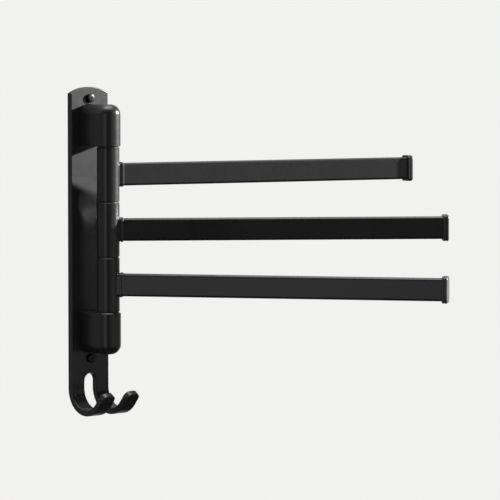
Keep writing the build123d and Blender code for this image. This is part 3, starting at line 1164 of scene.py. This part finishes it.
class RACK_OT_arm_screws(bpy.types.Operator):
    """Model the socket screw under each arm"""

    bl_idname = "rack.arm_screws"
    bl_label = "Arm screws"

    def execute(self, context):
        sizes = context.scene.rack_arms
        radius = sizes.screw_radius
        bevel = 0.3 * MM
        for arm in ARMS:
            low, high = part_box(f"{arm}_arm_screw")
            length = high.z - low.z
            screw = turned(
                f"{arm}_socket_screw",
                [(0, radius - bevel), (bevel, radius), (length - bevel, radius), (length, radius - bevel)],
                ROUND_SIDES,
            )
            cut_hexagon(screw, radius=radius / 2, depth=length / 3)
            middle = (low + high) / 2
            place(screw, Matrix.Translation((middle.x, middle.y, low.z)))
            complete(screw, f"{arm}_arm", "dark_steel", [f"{arm}_arm_screw"])
        return {"FINISHED"}


class RACK_OT_wall_screws(bpy.types.Operator):
    """Model both wall screws with their cross recess and wound thread"""

    bl_idname = "rack.wall_screws"
    bl_label = "Wall screws"

    def execute(self, context):
        sizes = context.scene.rack_screws
        low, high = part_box("wall_screws")
        length = high.y - low.y
        plate_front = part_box("top_housing")[1].y
        head = plate_front - low.y
        crown = 0.36 * head
        squareness = 2 / 3
        steps = 10
        past_plate = 0.4 * MM
        tip_radius = 0.05 * MM
        stations = []
        for step in range(1, steps + 1):
            angle = step / steps * math.pi / 2
            fall = crown * (1 - math.cos(angle) ** squareness)
            stations.append((fall, sizes.head_radius * math.sin(angle) ** squareness))
        neck_end = -low.y + past_plate
        tip_start = length - sizes.tip_length
        stations += [
            (head, sizes.head_radius),
            (head, sizes.neck_radius),
            (neck_end, sizes.neck_radius),
            (neck_end, sizes.core_radius),
            (tip_start, sizes.core_radius),
            (length, tip_radius),
        ]
        screw = turned("upper_wall_screw", stations, sizes.segments)
        cut_cross(screw, stations[0][0], sizes)
        thread_start = neck_end - 0.3 * sizes.pitch
        add_thread(screw, thread_start, length, sizes)
        screws = {"lower_wall_screw": copy_of(screw, "lower_wall_screw"), "upper_wall_screw": screw}
        into_wall = Matrix.Rotation(-math.pi / 2, 4, "X")
        heights = {
            "upper_wall_screw": high.z - sizes.head_radius,
            "lower_wall_screw": low.z + sizes.head_radius,
        }
        for name, height in heights.items():
            place(screws[name], Matrix.Translation((0, low.y, height)) @ into_wall)
            complete(screws[name], "wall_bracket", "dark_steel", ["wall_screws"])
        return {"FINISHED"}


class RACK_OT_bracket_screws(bpy.types.Operator):
    """Model the four countersunk screws behind the plate"""

    bl_idname = "rack.bracket_screws"
    bl_label = "Bracket screws"

    def execute(self, context):
        sizes = context.scene.rack_screws
        low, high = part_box("bracket_screws")
        head_radius = (high.x - low.x) / 2
        radius = sizes.thread_radius
        length = high.y - low.y
        rim = 0.15 * MM
        spacing = 17 * MM
        cone = head_radius - radius
        stations = [
            (0, head_radius - rim),
            (rim, head_radius),
            (cone, radius),
            (length - rim, radius),
            (length, radius - rim),
        ]
        pattern = turned("bracket_screw_pattern", stations, sizes.segments)
        cut_cross(pattern, 0, sizes)
        from_wall = Matrix.Rotation(math.pi / 2, 4, "X")
        outer = high.z - head_radius
        places = (outer, outer - spacing, spacing - outer, -outer)
        for number, height in enumerate(places, start=1):
            screw = copy_of(pattern, f"bracket_screw_{number}")
            place(screw, Matrix.Translation((0, high.y, height)) @ from_wall)
            complete(screw, "wall_bracket", "dark_steel", ["bracket_screws"])
        bpy.data.objects.remove(pattern)
        return {"FINISHED"}


# ---- panel and registration -------------------------------------------------------------


class RACK_PT_panel(bpy.types.Panel):
    """Lists the steps that build the rack"""

    bl_idname = "RACK_PT_panel"
    bl_label = "Towel Rack"
    bl_space_type = "VIEW_3D"
    bl_region_type = "UI"
    bl_category = "Towel Rack"

    def draw(self, context):
        for operator in STEPS:
            self.layout.operator(operator.bl_idname)
        for group in SETTINGS:
            box = self.layout.box()
            settings = getattr(context.scene, group)
            for name in settings.__annotations__:
                box.prop(settings, name)


STEPS = (
    RACK_OT_stage,
    RACK_OT_bracket,
    RACK_OT_pivot,
    RACK_OT_arm_tubes,
    RACK_OT_collars,
    RACK_OT_end_caps,
    RACK_OT_arm_screws,
    RACK_OT_wall_screws,
    RACK_OT_bracket_screws,
)
SETTINGS = {
    "rack_arms": ArmSizes,
    "rack_caps": CapSizes,
    "rack_screws": ScrewSizes,
    "rack_looks": Looks,
    "rack_stage": Stage,
}


def register():
    """Add the settings, the steps and the panel"""
    for group in SETTINGS.values():
        bpy.utils.register_class(group)
    for name, group in SETTINGS.items():
        setattr(bpy.types.Scene, name, PointerProperty(type=group))
    for operator in STEPS:
        bpy.utils.register_class(operator)
    bpy.utils.register_class(RACK_PT_panel)


def unregister():
    """Take them away again"""
    bpy.utils.unregister_class(RACK_PT_panel)
    for operator in reversed(STEPS):
        bpy.utils.unregister_class(operator)
    for name, group in SETTINGS.items():
        delattr(bpy.types.Scene, name)
        bpy.utils.unregister_class(group)


def main():
    """Build the whole rack and its stage"""
    register()
    bpy.ops.rack.stage()
    bpy.ops.rack.bracket()
    bpy.ops.rack.pivot()
    bpy.ops.rack.arm_tubes()
    bpy.ops.rack.collars()
    bpy.ops.rack.end_caps()
    bpy.ops.rack.arm_screws()
    bpy.ops.rack.wall_screws()
    bpy.ops.rack.bracket_screws()


if __name__ == "__main__":
    main()
